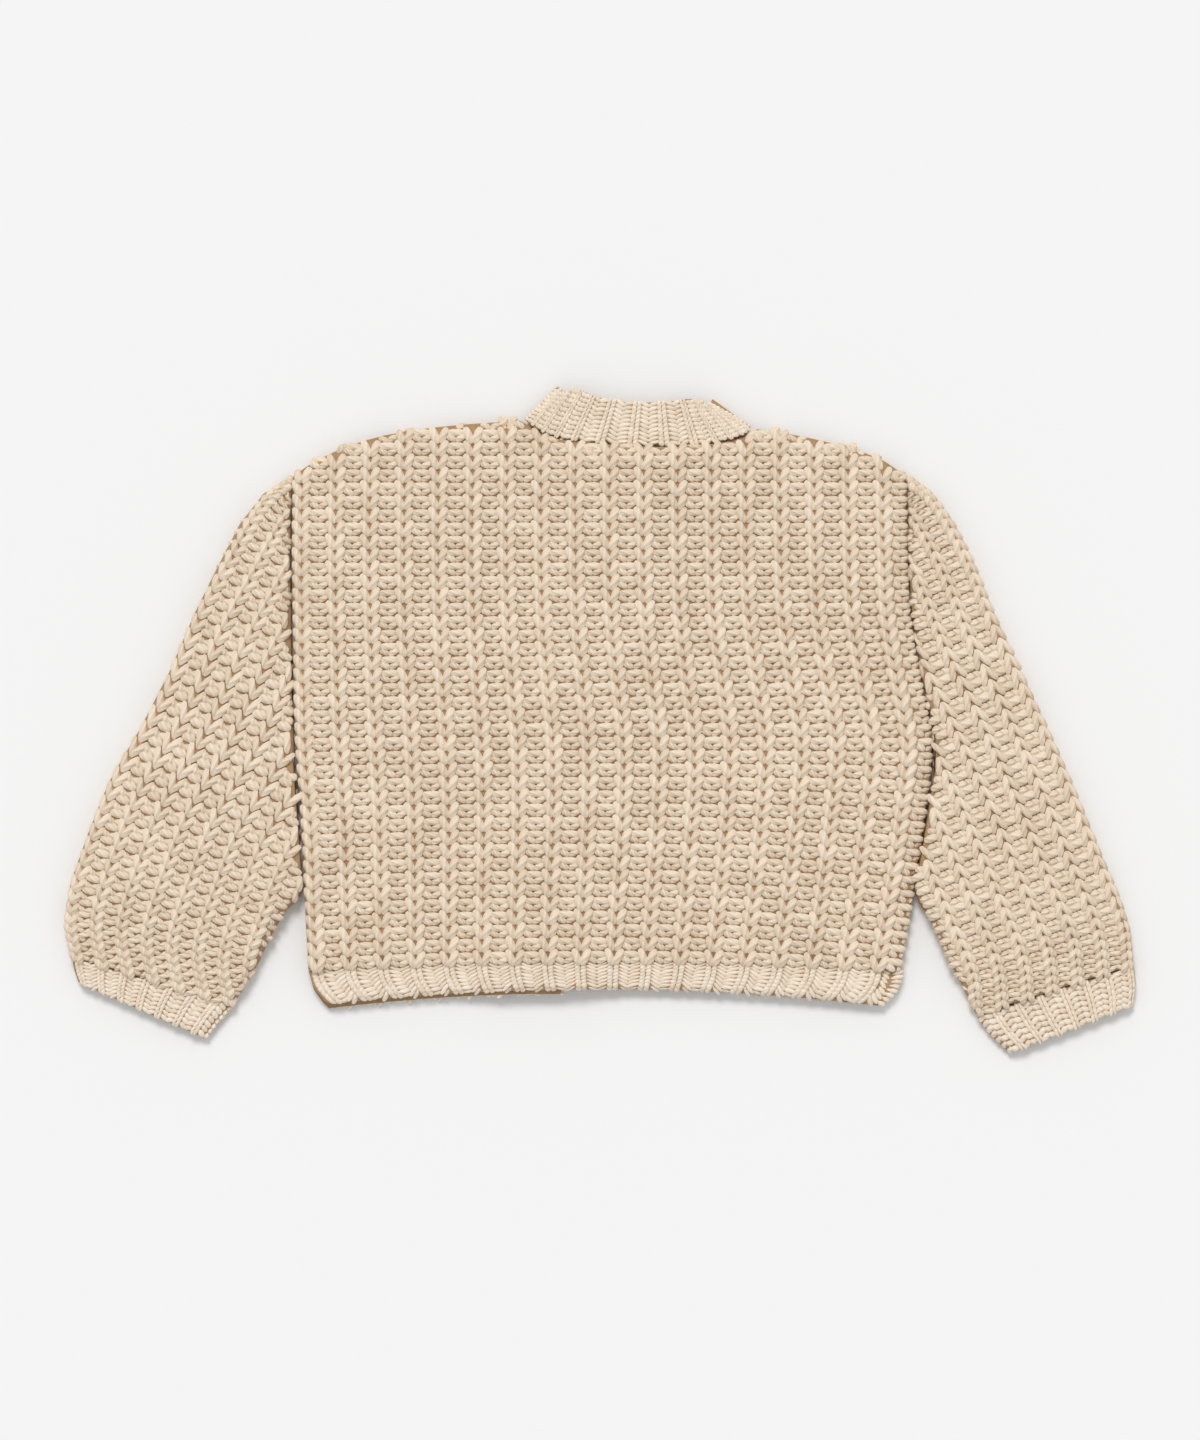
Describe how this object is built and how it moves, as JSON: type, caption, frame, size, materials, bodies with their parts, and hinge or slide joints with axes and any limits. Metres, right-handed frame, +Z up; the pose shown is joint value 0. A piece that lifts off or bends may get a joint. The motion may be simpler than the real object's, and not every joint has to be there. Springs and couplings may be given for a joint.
{
  "type": "child's knitted cardigan, laid flat",
  "caption": "Chunky ribbed child's cardigan with drop shoulders, laid flat with its back up, for dressing a shelf, table or wardrobe scene",
  "frame": {"origin": "the middle of the laid cardigan's outline, on the surface that it lies on", "axes": "+X runs from the wearer's left sleeve to the right sleeve, +Y from the hem to the neck, +Z up out of the cardigan's back"},
  "size_m": [0.6426, 0.3994, 0.0177],
  "materials": {
    "knit": "thick plied cotton yarn in full-cardigan rib, warm cream, matt",
    "rib": "finer one-by-one rib of the same cream yarn, matt",
    "button": "plain cream horn-like plastic, satin"
  },
  "bodies": {
    "root": {"back": "knit", "left_front": "knit", "right_front": "knit", "left_sleeve": "knit", "right_sleeve": "knit", "back_hem": "rib", "left_front_hem": "rib", "right_front_hem": "rib", "left_cuff": "rib", "right_cuff": "rib", "neckband": "rib", "left_front_band": "rib", "right_front_band": "rib", "button_1": "button", "button_2": "button", "button_3": "button", "button_4": "button", "button_5": "button"}
  },
  "joints": []
}
